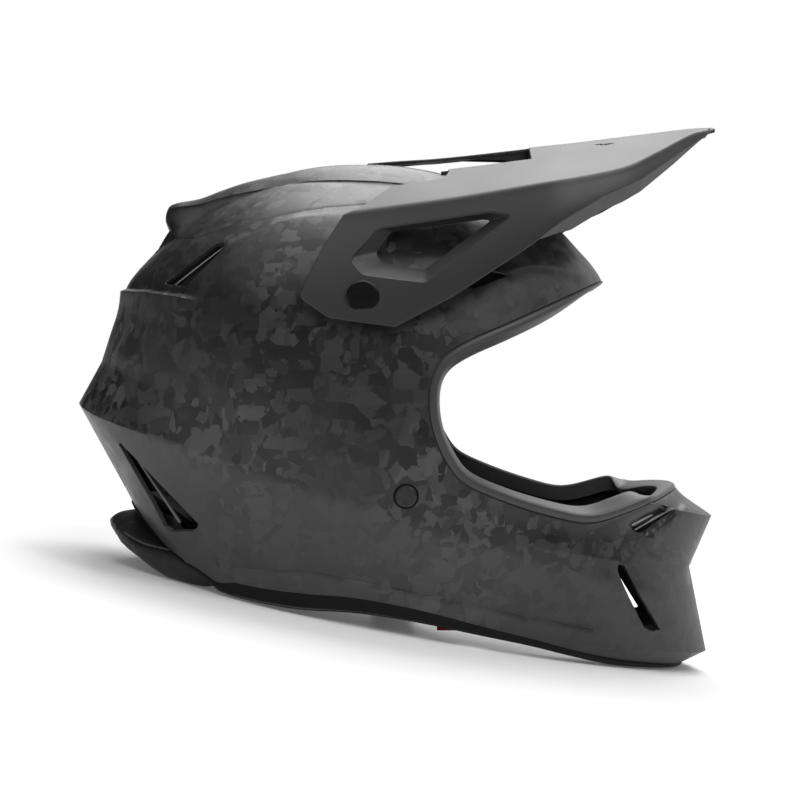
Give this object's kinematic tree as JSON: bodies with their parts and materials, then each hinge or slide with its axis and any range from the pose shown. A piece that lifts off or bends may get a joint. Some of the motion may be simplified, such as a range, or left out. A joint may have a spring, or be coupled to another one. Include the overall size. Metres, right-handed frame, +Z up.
{
  "type": "downhill bike full face helmet",
  "caption": "Full face helmet for downhill cycling, with a tilting visor, vented shell, foam liners, cheek pads, chin strap and D-rings, standing on its base.",
  "frame": {"origin": "bottom centre of the overall box, where the helmet stands on its base", "axes": "+X towards the visor tip and chin, +Y towards the wearer's left, +Z up; the helmet is nose up by 10.9 degrees from how it is worn"},
  "size_m": [0.38, 0.2432, 0.3066],
  "materials": {
    "shell": "satin clear coat over short chips of carbon",
    "visor": "matt moulded",
    "trim": "soft matt",
    "foam": "moulded bead foam, black",
    "lining": "brushed knit",
    "red_tape": "woven tape",
    "webbing": "woven webbing",
    "steel": "plain",
    "black_metal": "anodised black",
    "brass_insert": "turned",
    "black_plastic": "moulded"
  },
  "bodies": {
    "helmet": {"outer_shell": "shell", "eyeport_trim": "trim", "base_trim": "trim", "impact_liner": "foam", "chin_bar_liner": "foam", "cheek_liners": "foam", "comfort_liner": "lining", "cheek_pad_left": "lining", "cheek_pad_right": "lining", "cheek_release_tabs": "red_tape", "neck_roll": "lining", "rivet_caps": "black_metal", "strap_rivets": "steel", "strap_anchor_plates": "steel", "chin_strap_left": "webbing", "chin_strap_right": "webbing", "strap_snap": "black_plastic", "visor_thread_inserts": "brass_insert"},
    "visor": {"visor": "visor", "visor_washers": "black_plastic"},
    "screw_left": {"visor_screw_left": "black_metal"},
    "screw_right": {"visor_screw_right": "black_metal"},
    "ring_upper": {"d_ring_upper": "steel"},
    "ring_lower": {"d_ring_lower": "steel"}
  },
  "joints": [
    {"name": "visor_tilt", "type": "hinge", "parent": "helmet", "child": "visor", "pos_m": [-0.04049, 0, 0.17358], "axis": [0, -1, 0], "range_deg": [-10, 8]},
    {"name": "visor_screw_left", "type": "hinge", "parent": "helmet", "child": "screw_left", "pos_m": [-0.04049, 0, 0.17358], "axis": [0, 1, 0], "continuous": true},
    {"name": "visor_screw_right", "type": "hinge", "parent": "helmet", "child": "screw_right", "pos_m": [-0.04049, 0, 0.17358], "axis": [0, 1, 0], "continuous": true},
    {"name": "d_ring_upper", "type": "hinge", "parent": "helmet", "child": "ring_upper", "pos_m": [0.01339, 0.043, 0.01435], "axis": [-0.982, 0, -0.1891], "range_deg": [0, 60]},
    {"name": "d_ring_lower", "type": "hinge", "parent": "helmet", "child": "ring_lower", "pos_m": [0.01408, 0.043, 0.01082], "axis": [-0.982, 0, -0.1891], "range_deg": [-12, 0]}
  ]
}
